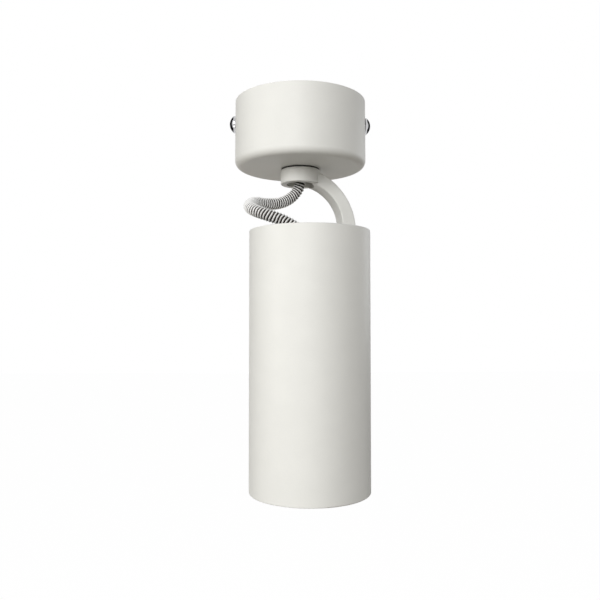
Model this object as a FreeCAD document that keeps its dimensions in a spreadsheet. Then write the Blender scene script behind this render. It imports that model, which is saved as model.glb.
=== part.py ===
"""Surface mounted ceiling spotlight: canopy, swivelling C-shaped arm, tilting tube head and twist-lock lamp.

Millimetres. The origin is the centre of the canopy's ceiling face, +Z points up into the ceiling, and the
canopy's two side screws lie along X. The arm is turned about Z by arm_turn. In the arm's own frame its flat
plane is XZ, it bulges towards +X, and the head hangs on its -Y side.
"""

import FreeCAD, Part
import math
import os
import re
import Sketcher
from FreeCAD import Placement, Rotation, Vector

SIZES = (
    ("canopy_radius_top", 39.1, "outer radius at the ceiling"),
    ("canopy_radius_low", 39.3, "outer radius above the rounded lower edge"),
    ("canopy_height", 39.8, "ceiling to underside"),
    ("canopy_round", 4.2, "radius of the rounded lower edge"),
    ("canopy_wall", 1.2, "sheet thickness"),
    ("side_screw_drop", 13.2, "side screws below the ceiling"),
    ("side_screw_radius", 2.0, "shank of a side screw"),
    ("side_head_radius", 5.1, "head of a side screw"),
    ("side_head_rim", 0.9, "cylindrical rim of the head"),
    ("side_head_dome", 2.5, "dome above the rim"),
    ("side_screw_length", 7, "side screw below its head"),
    ("side_socket", 3, "hexagon socket of a side screw, across flats"),
    ("strap_width", 20, "ceiling bracket"),
    ("strap_thickness", 1.5, "ceiling bracket"),
    ("ear_face", 36.7, "outer face of each ear from the axis"),
    ("ear_width", 13, "folded ear"),
    ("ear_height", 19, "folded ear"),
    ("ear_thickness", 2.0, "folded ear"),
    ("slot_spacing", 50, "fixing slots, centre to centre"),
    ("slot_length", 9, "fixing slot, end to end"),
    ("slot_radius", 2.25, "half the width of a fixing slot"),
    ("tab_width", 27, "tab that carries the terminal block"),
    ("tab_reach", 26, "edge of the tab from the axis"),
    ("block_width", 24, "terminal block along X"),
    ("block_depth", 15, "terminal block along Y"),
    ("block_height", 12.5, "terminal block"),
    ("block_near", 10.5, "near face of the block from the axis"),
    ("pole_spacing", 8, "terminals"),
    ("earth_along", 14, "earth screw of the bracket from the axis"),
    ("pole_hole_radius", 1.6, "wire holes of the block"),
    ("small_screw_radius", 1.5, "shank of the small screws"),
    ("small_socket", 2, "hexagon socket of a small screw, across flats"),
    ("small_head_radius", 2.7, "head of the small screws"),
    ("small_head_rim", 0.7, "rim of a small head"),
    ("small_head_dome", 1.1, "dome of a small head"),
    ("washer_thickness", 0.9, "black washer under the canopy"),
    ("washer_radius", 11.4, "black washer under the canopy"),
    ("running_gap", 0.1, "gap between faces that turn on each other"),
    ("hub_radius", 11.8, "swivel hub"),
    ("hub_height", 8.6, "swivel hub"),
    ("hub_round", 0.6, "rounded rims of the hub"),
    ("recess_radius", 8.25, "hole in the underside of the hub"),
    ("recess_depth", 5.0, "hole in the underside of the hub"),
    ("arm_turn", 9.1, "degrees from the side screws to the arm's plane"),
    ("arm_thickness", 13.8, "arm across its plane"),
    ("arm_outer_radius", 38.0, "outer arc of the arm"),
    ("arm_outer_along", -4.9, "centre of the outer arc"),
    ("arm_outer_drop", 77.5, "centre of the outer arc below the ceiling"),
    ("arm_inner_radius", 25.2, "inner arc of the arm"),
    ("arm_inner_along", -0.65, "centre of the inner arc"),
    ("arm_inner_drop", 74.1, "centre of the inner arc below the ceiling"),
    ("arm_root", 6.0, "flat start of the arm inside the hub"),
    ("arm_round", 1.0, "rounded edges of the arm"),
    ("stud_radius", 5.0, "hollow stud with fine thread"),
    ("stud_bore", 4.0, "hollow stud"),
    ("stud_height", 16.5, "stud from the top of the recess upwards"),
    ("plate_thickness", 1.0, "stop washer and lock washer"),
    ("stop_reach", 11.5, "tip of the stop washer's tab"),
    ("stop_width", 3.0, "tab of the stop washer"),
    ("stop_pin_radius", 1.5, "pin that limits the swivel"),
    ("stop_pin_along", 10, "pin from the axis"),
    ("nut_across", 14, "nut on the stud, across flats"),
    ("nut_height", 4.0, "nut on the stud"),
    ("grip_radius", 7.0, "cord grips"),
    ("grip_height", 11.0, "cord grips"),
    ("flex_radius", 3.45, "textile flex over its ribs"),
    ("bush_radius", 6.2, "black bush in the recess"),
    ("bush_height", 1.6, "black bush in the recess"),
    ("tube_radius", 32.5, "head tube"),
    ("tube_wall", 1.8, "head tube"),
    ("tube_length", 139.1, "head tube"),
    ("tube_drop", 83.3, "top rim of the head below the ceiling"),
    ("rim_round", 0.6, "outer edge of both rims"),
    ("rim_round_inner", 0.4, "inner edge of both rims"),
    ("pivot_along", -3.6, "pivot and head axis from the stud axis, along the arm"),
    ("pivot_drop", 107.4, "pivot below the ceiling"),
    ("pivot_radius", 3.0, "shoulder bolt"),
    ("pivot_fit", 0.05, "radial clearance of the bolt in the arm"),
    ("bolt_head_radius", 5.3, "pivot bolt"),
    ("bolt_head_rim", 0.9, "pivot bolt"),
    ("bolt_head_dome", 2.2, "pivot bolt"),
    ("bolt_length", 25, "pivot bolt, below the head"),
    ("bolt_socket", 4, "hexagon socket of the pivot bolt, across flats"),
    ("counterbore_radius", 5.9, "seat of the bolt head in the arm"),
    ("counterbore_depth", 2.2, "seat of the bolt head in the arm"),
    ("tilt_washer", 0.7, "friction washer thickness"),
    ("saddle_radius", 7.9, "saddles on both sides of the tube wall"),
    ("saddle_thickness", 0.9, "outer saddle at the tube's highest line"),
    ("inner_saddle", 1.8, "inner saddle at the tube's highest line"),
    ("pivot_nut_across", 10, "lock nut of the pivot"),
    ("pivot_nut_height", 5.5, "lock nut of the pivot"),
    ("carrier_drop", 38, "carrier plate below the top rim"),
    ("carrier_thickness", 1.2, "carrier plate"),
    ("carrier_rim", 7, "turned rim of the carrier plate"),
    ("nipple_length", 9, "threaded end of the head's cord grip"),
    ("nipple_nut", 3.0, "nut under the carrier plate"),
    ("pillar_along", 11.6, "holder pillars from the head axis"),
    ("pillar_across", 5.5, "holder pillars, across flats"),
    ("holder_top", 61, "top of the lamp holder below the top rim"),
    ("holder_height", 16.1, "lamp holder"),
    ("holder_radius", 15.2, "flange of the lamp holder"),
    ("holder_flange", 4, "flange of the lamp holder"),
    ("holder_boss_length", 27, "boss of the lamp holder"),
    ("holder_boss_width", 17, "boss of the lamp holder"),
    ("lead_radius", 1.0, "single insulated wires"),
    ("lead_along", 7, "wire holes of the lamp holder from the head axis"),
    ("tag_along", 19, "earth tag from the head axis"),
    ("tag_radius", 3.2, "earth tag"),
    ("tag_thickness", 0.8, "earth tag"),
    ("pin_spacing", 10, "lamp pins, centre to centre"),
    ("pin_neck", 1.6, "neck of a lamp pin"),
    ("pin_head", 2.5, "head of a lamp pin"),
    ("pin_height", 7, "lamp pin"),
    ("pin_head_height", 2, "head of a lamp pin"),
    ("lamp_seat_gap", 0.3, "between holder and lamp base"),
    ("lamp_twist", 25, "degrees that unlock the lamp"),
    ("lamp_base_radius", 10.2, "lamp base"),
    ("lamp_base_height", 11, "lamp base"),
    ("lamp_radius", 25, "lamp front"),
    ("lamp_length", 46.7, "lamp from base to front, without pins"),
    ("lamp_wall", 1.5, "lamp housing"),
    ("lens_thickness", 1.6, "lamp lens"),
    ("chip_circle", 10, "ring of light chips"),
)

# The flex between hub and head, in the ceiling's frame: out of the hub's bush, away to the left, round in a
# tight loop that comes forward, and back over the tube's mouth to the cord grip on the head's axis.
FLEX_ROUTE = (
    (0.0, 0.0, -45.9),
    (0.0, 0.0, -50.2),
    (-4.4, -0.7, -56.8),
    (-11.2, -4.4, -61.4),
    (-20.0, -10.9, -63.4),
    (-27.7, -18.4, -63.5),
    (-30.5, -27.2, -67.4),
    (-27.2, -35.9, -71.2),
    (-19.4, -41.3, -74.7),
    (-11.2, -42.2, -77.5),
    (-3.0, -41.4, -82.1),
    (1.8, -41.1, -89.6),
    (2.95, -41.15, -100.2),
    (2.95, -41.15, -110.3),
)

PATTERN = re.compile(r"[a-z_]+")
ALIASES = {alias for alias, _, _ in SIZES}

doc = FreeCAD.newDocument("CeilingSpotlight")
sheet = doc.addObject("Spreadsheet::Sheet", "Sizes")
for row, (alias, value, meaning) in enumerate(SIZES, start=1):
    sheet.set(f"A{row}", alias)
    sheet.set(f"B{row}", str(value))
    sheet.set(f"C{row}", meaning)
    sheet.setAlias(f"B{row}", alias)
doc.recompute()


def bound(expression):
    """The expression with every size's alias written as a reference to the sheet."""
    return PATTERN.sub(lambda word: f"Sizes.{word[0]}" if word[0] in ALIASES else word[0], str(expression))


def number(expression):
    """The value of an expression on the sheet."""
    return float(sheet.evalExpression(bound(expression)))


# Levels in the ceiling's and arm's frames.
CANOPY_FLOOR = "(canopy_wall - canopy_height)"
HUB_TOP = "(-canopy_height - washer_thickness)"
HUB_LOW = "(-canopy_height - washer_thickness - hub_height)"
RECESS_TOP = f"({HUB_LOW} + recess_depth)"
STUD_TOP = f"({RECESS_TOP} + stud_height)"
STOP_LOW = f"({CANOPY_FLOOR} + running_gap)"
LOCK_LOW = f"({STOP_LOW} + plate_thickness)"
NUT_LOW = f"({LOCK_LOW} + plate_thickness)"
GRIP_LOW = f"({NUT_LOW} + nut_height)"
GRIP_TOP = f"({GRIP_LOW} + grip_height)"
FLEX_TOP = f"({GRIP_TOP} + 2)"
BUSH_LOW = f"({RECESS_TOP} - bush_height)"
# The terminal block under the bracket's tab.
BLOCK_MIDDLE = "(block_near + block_depth / 2)"
BLOCK_LOW = "(-strap_thickness - block_height)"
WIRE_LEVEL = "(-strap_thickness - block_height * 0.62)"
POLES = ("-pole_spacing", "0", "pole_spacing")
# Distances in the head's frame: its origin is the tube's axis at the top rim, and the arm is at +Y.
ARM_FRONT = "(tube_radius + saddle_thickness + running_gap + tilt_washer)"
HEAD_OFFSET = f"({ARM_FRONT} + arm_thickness / 2)"
BOLT_SEAT = f"({ARM_FRONT} + arm_thickness - counterbore_depth + running_gap)"
PIVOT_LEVEL = "(tube_drop - pivot_drop)"
BORE = "(tube_radius - tube_wall)"
INNER_FACE = f"({BORE} - inner_saddle)"
CARRIER_LOW = "(-carrier_drop - carrier_thickness)"
HOLDER_LOW = "(-holder_top - holder_height)"
LAMP_TOP = f"({HOLDER_LOW} - lamp_seat_gap)"
LAMP_FRONT = f"({LAMP_TOP} - lamp_length)"

FRAMES = {
    "ceiling": ("0", "0", "0", "0"),
    "arm": ("0", "0", "0", "arm_turn"),
    "head": (
        f"pivot_along * cos(arm_turn) + {HEAD_OFFSET} * sin(arm_turn)",
        f"pivot_along * sin(arm_turn) - {HEAD_OFFSET} * cos(arm_turn)",
        "-tube_drop",
        "arm_turn",
    ),
}
NODES = {}
CUTS = []
X, Y, Z = Vector(1, 0, 0), Vector(0, 1, 0), Vector(0, 0, 1)


def put_in_frame(item, frame):
    """Binds the placement of a finished piece to its frame."""
    x, y, z, turn = FRAMES[frame]
    for name, expression in (("Base.x", x), ("Base.y", y), ("Base.z", z), ("Rotation.Angle", turn)):
        item.setExpression(f"Placement.{name}", bound(expression))


def put_at(item, place, towards=Z):
    """Turns a piece's own +Z towards a direction and binds its place to the sheet."""
    item.Placement = Placement(Vector(), Rotation(Z, towards))
    for name, expression in zip("xyz", place):
        item.setExpression(f"Placement.Base.{name}", bound(expression))


def node(name, item, frame):
    """Names a finished piece, puts it in its frame and lists it for export."""
    item.Label = name
    put_in_frame(item, frame)
    NODES[name] = item
    return item


def new_body(name):
    return doc.addObject("PartDesign::Body", name)


def new_sketch(body, name, role, offset="0"):
    """A sketch on one of the body's own origin planes, moved along the plane's normal."""
    sketch = body.newObject("Sketcher::SketchObject", name)
    sketch.AttachmentSupport = [(next(f for f in body.Origin.OriginFeatures if f.Role == role), "")]
    sketch.MapMode = "FlatFace"
    if offset != "0":
        sketch.setExpression("AttachmentOffset.Base.z", bound(offset))
    return sketch


def dimension(sketch, kind, where, expression):
    """A dimensional constraint bound to the sheet."""
    index = sketch.addConstraint(Sketcher.Constraint(kind, *where, number(expression)))
    name = f"size_{index}"
    sketch.renameConstraint(index, name)
    sketch.setExpression(f"Constraints.{name}", bound(expression))


def locate(sketch, element, point, x, y):
    dimension(sketch, "DistanceX", (-1, 1, element, point), x)
    dimension(sketch, "DistanceY", (-1, 1, element, point), y)


def circle(sketch, x, y, radius):
    centre = Vector(number(x), number(y), 0)
    index = sketch.addGeometry(Part.Circle(centre, Z, number(radius)), False)
    locate(sketch, index, 3, x, y)
    dimension(sketch, "Radius", (index,), radius)


def rounded_corner(before, corner, after, radius):
    """Entry and exit points of the arc that rounds a corner, its centre, and whether it turns left."""
    back = (before - corner).normalize()
    ahead = (after - corner).normalize()
    half = back.getAngle(ahead) / 2
    entry = corner + back * (radius / math.tan(half))
    exit_point = corner + ahead * (radius / math.tan(half))
    middle = (back + ahead).normalize()
    centre = corner + middle * (radius / math.sin(half))
    return entry, exit_point, centre, back.cross(ahead).z < 0


def outline(sketch, corners):
    """A closed polygon. A corner is two expressions, and a third one rounds it to that radius."""
    points = [Vector(number(corner[0]), number(corner[1]), 0) for corner in corners]
    total = len(points)
    ends = []
    for i, corner in enumerate(corners):
        if len(corner) == 3:
            ends.append(rounded_corner(points[i - 1], points[i], points[(i + 1) % total], number(corner[2])))
        else:
            ends.append((points[i], points[i], None, None))
    lines = [
        sketch.addGeometry(Part.LineSegment(ends[i][1], ends[(i + 1) % total][0]), False)
        for i in range(total)
    ]
    for i, corner in enumerate(corners):
        entry, exit_point, centre, left = ends[i]
        before, after = lines[i - 1], lines[i]
        if centre is None:
            sketch.addConstraint(Sketcher.Constraint("Coincident", before, 2, after, 1))
            locate(sketch, after, 1, corner[0], corner[1])
            continue
        first, last = (entry, exit_point) if left else (exit_point, entry)
        angles = [math.atan2(point.y - centre.y, point.x - centre.x) for point in (first, last)]
        ring = Part.Circle(centre, Z, number(corner[2]))
        arc = sketch.addGeometry(Part.ArcOfCircle(ring, *angles), False)
        start, end = (1, 2) if left else (2, 1)
        sketch.addConstraint(Sketcher.Constraint("Tangent", before, 2, arc, start))
        sketch.addConstraint(Sketcher.Constraint("Tangent", arc, end, after, 1))
        dimension(sketch, "Radius", (arc,), corner[2])
        mark = sketch.addGeometry(Part.Point(points[i]), True)
        locate(sketch, mark, 1, corner[0], corner[1])
        sketch.addConstraint(Sketcher.Constraint("PointOnObject", mark, 1, before))
        sketch.addConstraint(Sketcher.Constraint("PointOnObject", mark, 1, after))


def rectangle(sketch, left, right, low, high, radius=None):
    corners = [(left, low), (right, low), (right, high), (left, high)]
    outline(sketch, corners if radius is None else [(*corner, radius) for corner in corners])


def hexagon(sketch, across):
    """A regular hexagon about the origin with two corners on X."""
    reach = f"({across}) / 2 / cos(30)"
    outline(sketch, [(f"{reach} * cos({angle})", f"{reach} * sin({angle})") for angle in range(0, 360, 60)])


def slot(sketch, x, y, length, radius):
    """A slot along X with round ends."""
    reach = f"(({length}) / 2 - ({radius}))"
    arcs = []
    for sign, start, end in (("+", -math.pi / 2, math.pi / 2), ("-", math.pi / 2, 3 * math.pi / 2)):
        along = f"({x}) {sign} {reach}"
        ring = Part.Circle(Vector(number(along), number(y), 0), Z, number(radius))
        arc = sketch.addGeometry(Part.ArcOfCircle(ring, start, end), False)
        locate(sketch, arc, 3, along, y)
        dimension(sketch, "Radius", (arc,), radius)
        arcs.append(arc)
    right, left = arcs
    for first, second in ((right, left), (left, right)):
        points = sketch.Geometry[first].EndPoint, sketch.Geometry[second].StartPoint
        line = sketch.addGeometry(Part.LineSegment(*points), False)
        sketch.addConstraint(Sketcher.Constraint("Tangent", first, 2, line, 1))
        sketch.addConstraint(Sketcher.Constraint("Tangent", line, 2, second, 1))


def ring_sector(sketch, inner, outer, start, end):
    """A closed sector of a ring about the origin, between two angles in degrees."""
    arcs = []
    for radius in (inner, outer):
        ring = Part.Circle(Vector(), Z, number(radius))
        angles = [math.radians(number(angle)) for angle in (start, end)]
        arc = sketch.addGeometry(Part.ArcOfCircle(ring, *angles), False)
        sketch.addConstraint(Sketcher.Constraint("Coincident", arc, 3, -1, 1))
        dimension(sketch, "Radius", (arc,), radius)
        arcs.append(arc)
        for point, angle in ((1, start), (2, end)):
            steep = abs(math.cos(math.radians(number(angle)))) > 0.7
            kind, share = ("DistanceY", "sin") if steep else ("DistanceX", "cos")
            dimension(sketch, kind, (-1, 1, arc, point), f"({radius}) * {share}({angle})")
    near, far = (sketch.Geometry[arc] for arc in arcs)
    for point, first, second in ((1, near.StartPoint, far.StartPoint), (2, near.EndPoint, far.EndPoint)):
        line = sketch.addGeometry(Part.LineSegment(first, second), False)
        sketch.addConstraint(Sketcher.Constraint("Coincident", line, 1, arcs[0], point))
        sketch.addConstraint(Sketcher.Constraint("Coincident", line, 2, arcs[1], point))


def feature(body, kind, name, sketch):
    made = body.newObject(f"PartDesign::{kind}", name)
    made.Profile = sketch
    return made


def pad(body, name, sketch, length, reverse=False, both_ways=False):
    made = feature(body, "Pad", name, sketch)
    made.setExpression("Length", bound(length))
    made.Reversed = reverse
    if both_ways:
        made.SideType = "Symmetric"
    return made


def cut(body, name, sketch, length=None, reverse=False, both_ways=False):
    """A pocket: through everything, or of one length. Its cut is checked at the end."""
    made = feature(body, "Pocket", name, sketch)
    if length is None:
        made.Type = "ThroughAll"
    else:
        made.setExpression("Length", bound(length))
    made.Reversed = reverse
    if both_ways:
        made.SideType = "Symmetric"
    CUTS.append(made)
    return made


def turned(body, name, sketch, kind="Revolution"):
    made = feature(body, kind, name, sketch)
    made.ReferenceAxis = (sketch, ["V_Axis"])
    return made


def round_edges(body, name, base, radius, wanted):
    """A fillet on the edges of base that wanted(edge) picks."""
    doc.recompute()
    picked = [f"Edge{i}" for i, edge in enumerate(base.Shape.Edges, start=1) if wanted(edge)]
    made = body.newObject("PartDesign::Fillet", name)
    made.Base = (base, picked)
    made.setExpression("Radius", bound(radius))
    return made


def ring_body(name, inner, outer, low, height):
    """A plain ring or disc about Z, from one level upwards."""
    body = new_body(name)
    sketch = new_sketch(body, f"{name}_face", "XY_Plane", low)
    circle(sketch, "0", "0", outer)
    if inner != "0":
        circle(sketch, "0", "0", inner)
    pad(body, f"{name}_pad", sketch, height)
    return body


def spun_body(name, corners):
    """A body of revolution about Z. Its half section is given in radius and height."""
    body = new_body(name)
    sketch = new_sketch(body, f"{name}_section", "XZ_Plane")
    outline(sketch, corners)
    turned(body, f"{name}_turn", sketch)
    return body


def hex_body(name, across, height, bore):
    """A hexagonal nut or pillar standing on its own origin, with a round bore."""
    body = new_body(name)
    sketch = new_sketch(body, f"{name}_face", "XY_Plane")
    hexagon(sketch, across)
    if bore != "0":
        circle(sketch, "0", "0", bore)
    pad(body, f"{name}_pad", sketch, height)
    return body


def screw_body(name, shank, length, head, rim, dome, socket):
    """A domed screw on its own origin: shank below, head above, with a hexagon socket in the dome."""
    body = new_body(name)
    section = new_sketch(body, f"{name}_section", "XZ_Plane")
    corners = [("0", f"-({length})"), (shank, f"-({length})"), (shank, "0"), (head, "0"), (head, rim)]
    top = f"({rim} + {dome})"
    points = [Vector(number(x), number(y), 0) for x, y in corners] + [Vector(0, number(top), 0)]
    lines = [section.addGeometry(Part.LineSegment(*pair), False) for pair in zip(points[:4], points[1:5])]
    for i, (x, y) in enumerate(corners[:4]):
        locate(section, lines[i], 1, x, y)
        if i:
            section.addConstraint(Sketcher.Constraint("Coincident", lines[i - 1], 2, lines[i], 1))
    locate(section, lines[3], 2, head, rim)
    wide, high = number(head), number(dome)
    radius = (wide * wide + high * high) / (2 * high)
    centre = Vector(0, number(top) - radius, 0)
    start = math.atan2(number(rim) - centre.y, wide)
    arc = section.addGeometry(Part.ArcOfCircle(Part.Circle(centre, Z, radius), start, math.pi / 2), False)
    section.addConstraint(Sketcher.Constraint("PointOnObject", arc, 3, -2))
    section.addConstraint(Sketcher.Constraint("Coincident", lines[3], 2, arc, 1))
    locate(section, arc, 2, "0", top)
    axis = section.addGeometry(Part.LineSegment(points[5], points[0]), False)
    section.addConstraint(Sketcher.Constraint("Coincident", arc, 2, axis, 1))
    section.addConstraint(Sketcher.Constraint("Coincident", axis, 2, lines[0], 1))
    turned(body, f"{name}_turn", section)
    drive = new_sketch(body, f"{name}_drive", "XY_Plane", top)
    hexagon(drive, socket)
    cut(body, f"{name}_socket", drive, f"{dome} * 0.8")
    return body


def small_screw(name, length):
    head = ("small_head_radius", "small_head_rim", "small_head_dome")
    return screw_body(name, "small_screw_radius", length, *head, "small_socket")


def group(name, frame, members):
    """Several like solids, each with its own place, as one piece."""
    made = doc.addObject("Part::Compound", name)
    made.Links = members
    return node(name, made, frame)


def cylinder(name, radius, height, place, towards=Z):
    made = doc.addObject("Part::Cylinder", name)
    made.setExpression("Radius", bound(radius))
    made.setExpression("Height", bound(height))
    put_at(made, place, towards)
    return made


def boolean(kind, name, base, tool):
    made = doc.addObject(f"Part::{kind}", name)
    made.Base = base
    made.Tool = tool
    return made


def rounded_path(route):
    """Straight runs joined by tangent arcs. A radius is 0.45 of the shorter run over the tangent of half the
    turn."""
    points = [Vector(*point) for point in route]
    edges, radii = [], []
    start = points[0]
    for before, corner, after in zip(points, points[1:], points[2:]):
        shorter = min((corner - before).Length, (after - corner).Length)
        half_turn = (corner - before).getAngle(after - corner) / 2
        radii.append(0.45 * shorter / math.tan(half_turn))
        back = (before - corner).normalize()
        ahead = (after - corner).normalize()
        entry = corner + back * (0.45 * shorter)
        exit_point = corner + ahead * (0.45 * shorter)
        inward = (back + ahead).normalize()
        sagitta = radii[-1] * (1 / math.cos(half_turn) - 1)
        edges += [Part.LineSegment(start, entry), Part.Arc(entry, corner + inward * sagitta, exit_point)]
        start = exit_point
    edges.append(Part.LineSegment(start, points[-1]))
    return Part.Wire([edge.toShape() for edge in edges]), radii


def tube_along(name, frame, route, radius):
    """A round cord along a route, with its bends and its volume printed."""
    path, radii = rounded_path(route)
    start = Vector(*route[0])
    section = Part.Wire([Part.Circle(start, Vector(*route[1]) - start, radius).toShape()])
    solid = path.makePipeShell([section], True, False)
    expected = math.pi * radius**2 * path.Length
    print(name, "length", round(path.Length, 1), "bend radii", [round(r, 1) for r in radii])
    print(name, "volume over section times length", round(solid.Volume / expected, 4))
    made = doc.addObject("Part::Feature", name)
    made.Shape = solid
    return node(name, made, frame)


def make_canopy():
    """Drawn steel cup, open to the ceiling, with a hole for the stud and one for each side screw."""
    hole = "(stud_radius + 0.3)"
    body = spun_body(
        "canopy_cup",
        [
            (hole, "-canopy_height"),
            ("canopy_radius_low", "-canopy_height", "canopy_round"),
            ("canopy_radius_top", "0"),
            ("canopy_radius_top - canopy_wall", "0"),
            ("canopy_radius_low - canopy_wall", CANOPY_FLOOR, "canopy_round - canopy_wall"),
            (hole, CANOPY_FLOOR),
        ],
    )
    holes = new_sketch(body, "canopy_screw_holes", "YZ_Plane")
    circle(holes, "0", "-side_screw_drop", "side_screw_radius + 0.3")
    cut(body, "canopy_screw_cut", holes, both_ways=True)
    node("canopy_cup", body, "ceiling")
    washer = ring_body(
        "canopy_washer", hole, "washer_radius", f"{HUB_TOP} + running_gap", "washer_thickness - running_gap"
    )
    node("canopy_washer", washer, "ceiling")


def make_bracket():
    """Folded steel strap with two fixing slots, two threaded ears and a tab for the terminal block."""
    body = new_body("ceiling_bracket")
    half, edge = "strap_width / 2", "tab_width / 2"
    flat = new_sketch(body, "bracket_flat", "XY_Plane")
    outline(
        flat,
        [
            ("-ear_face", "-ear_width / 2"),
            ("4 - ear_face", "-ear_width / 2"),
            ("8 - ear_face", f"-{half}"),
            ("ear_face - 8", f"-{half}"),
            ("ear_face - 4", "-ear_width / 2"),
            ("ear_face", "-ear_width / 2"),
            ("ear_face", "ear_width / 2"),
            ("ear_face - 4", "ear_width / 2"),
            ("ear_face - 8", half),
            (edge, half, "2"),
            (edge, "tab_reach", "2"),
            (f"-{edge}", "tab_reach", "2"),
            (f"-{edge}", half, "2"),
            ("8 - ear_face", half),
            ("4 - ear_face", "ear_width / 2"),
            ("-ear_face", "ear_width / 2"),
        ],
    )
    pad(body, "bracket_plate", flat, "strap_thickness", reverse=True)
    ears = new_sketch(body, "bracket_ears", "XZ_Plane")
    for near, far in (("ear_thickness - ear_face", "-ear_face"), ("ear_face - ear_thickness", "ear_face")):
        rectangle(ears, near, far, "-ear_height", "0")
    pad(body, "bracket_ear_pad", ears, "ear_width", both_ways=True)
    slots = new_sketch(body, "bracket_slots", "XY_Plane")
    for side in ("-", ""):
        slot(slots, f"{side}slot_spacing / 2", "0", "slot_length", "slot_radius")
    circle(slots, "-earth_along", "0", "small_screw_radius")
    circle(slots, "pole_spacing / 2", BLOCK_MIDDLE, "small_screw_radius")
    cut(body, "bracket_slot_cut", slots, both_ways=True)
    threads = new_sketch(body, "bracket_threads", "YZ_Plane")
    circle(threads, "0", "-side_screw_drop", "side_screw_radius")
    cut(body, "bracket_thread_cut", threads, both_ways=True)
    node("ceiling_bracket", body, "ceiling")


def make_canopy_screws():
    """Two polished domed screws through the canopy's wall into the bracket's ears."""
    members = []
    seat = "canopy_radius_low"
    for side, towards in (("-", Vector(-1, 0, 0)), ("", X)):
        screw = screw_body(
            f"side_screw_{len(members)}",
            "side_screw_radius",
            "side_screw_length",
            "side_head_radius",
            "side_head_rim",
            "side_head_dome",
            "side_socket",
        )
        put_at(screw, (f"{side}{seat}", "0", "-side_screw_drop"), towards)
        members.append(screw)
    group("canopy_side_screws", "ceiling", members)


def make_terminal_block():
    """Three-pole block under the bracket's tab, with its clamp screws, fixing screw and the earth screw."""
    body = new_body("terminal_block")
    face = new_sketch(body, "block_face", "XY_Plane", BLOCK_LOW)
    rectangle(face, "-block_width / 2", "block_width / 2", "block_near", "block_near + block_depth", "1")
    pad(body, "block_pad", face, "block_height")
    ways = new_sketch(body, "block_wire_ways", "XZ_Plane")
    wells = new_sketch(body, "block_screw_wells", "XY_Plane", BLOCK_LOW)
    for pole in POLES:
        circle(ways, pole, WIRE_LEVEL, "pole_hole_radius")
        circle(wells, pole, BLOCK_MIDDLE, "pole_hole_radius + 0.3")
    cut(body, "block_way_cut", ways, both_ways=True)
    cut(body, "block_well_cut", wells, "block_height * 0.3", reverse=True)
    fixing = new_sketch(body, "block_fixing", "XY_Plane")
    circle(fixing, "pole_spacing / 2", BLOCK_MIDDLE, "small_screw_radius")
    cut(body, "block_fixing_cut", fixing, both_ways=True)
    node("terminal_block", body, "ceiling")
    members = []
    for i, pole in enumerate(POLES):
        place = (pole, BLOCK_MIDDLE, f"{BLOCK_LOW} + 0.2")
        members.append(cylinder(f"clamp_screw_{i}", "pole_hole_radius", "block_height * 0.28", place))
    group("terminal_screws", "ceiling", members)
    down = Vector(0, 0, -1)
    fixing_screw = small_screw("block_screw", "block_height + strap_thickness - 0.2")
    put_at(fixing_screw, ("pole_spacing / 2", BLOCK_MIDDLE, BLOCK_LOW), down)
    group("block_fixing_screw", "ceiling", [fixing_screw])
    earth = small_screw("earth_terminal", "strap_thickness")
    put_at(earth, ("-earth_along", "0", "-strap_thickness"), down)
    group("earth_screw", "ceiling", [earth])


def make_supply_wires():
    """Three insulated wires from the end of the flex, round into the terminal block."""
    low, level = number(FLEX_TOP) + 0.3, number(WIRE_LEVEL)
    near, spacing, radius = number("block_near"), number("pole_spacing"), number("lead_radius")
    for name, column, start_x, start_y in (
        ("wire_live", 1, 1.6, 0.9),
        ("wire_neutral", 0, 0.0, -1.9),
        ("wire_earth", -1, -1.6, 0.9),
    ):
        end_x = column * spacing
        route = [
            (start_x, start_y, low),
            (start_x, start_y, low + 2.5),
            (start_x + 0.2 * (end_x - start_x), start_y + 1.5, low + 4.6),
            (start_x + 0.7 * (end_x - start_x), start_y + 4.6, level - 0.4),
            (end_x - 0.2 * column, near - 1.7, level),
            (end_x, near + 2.0, level),
        ]
        tube_along(name, "ceiling", route, radius)


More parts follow.
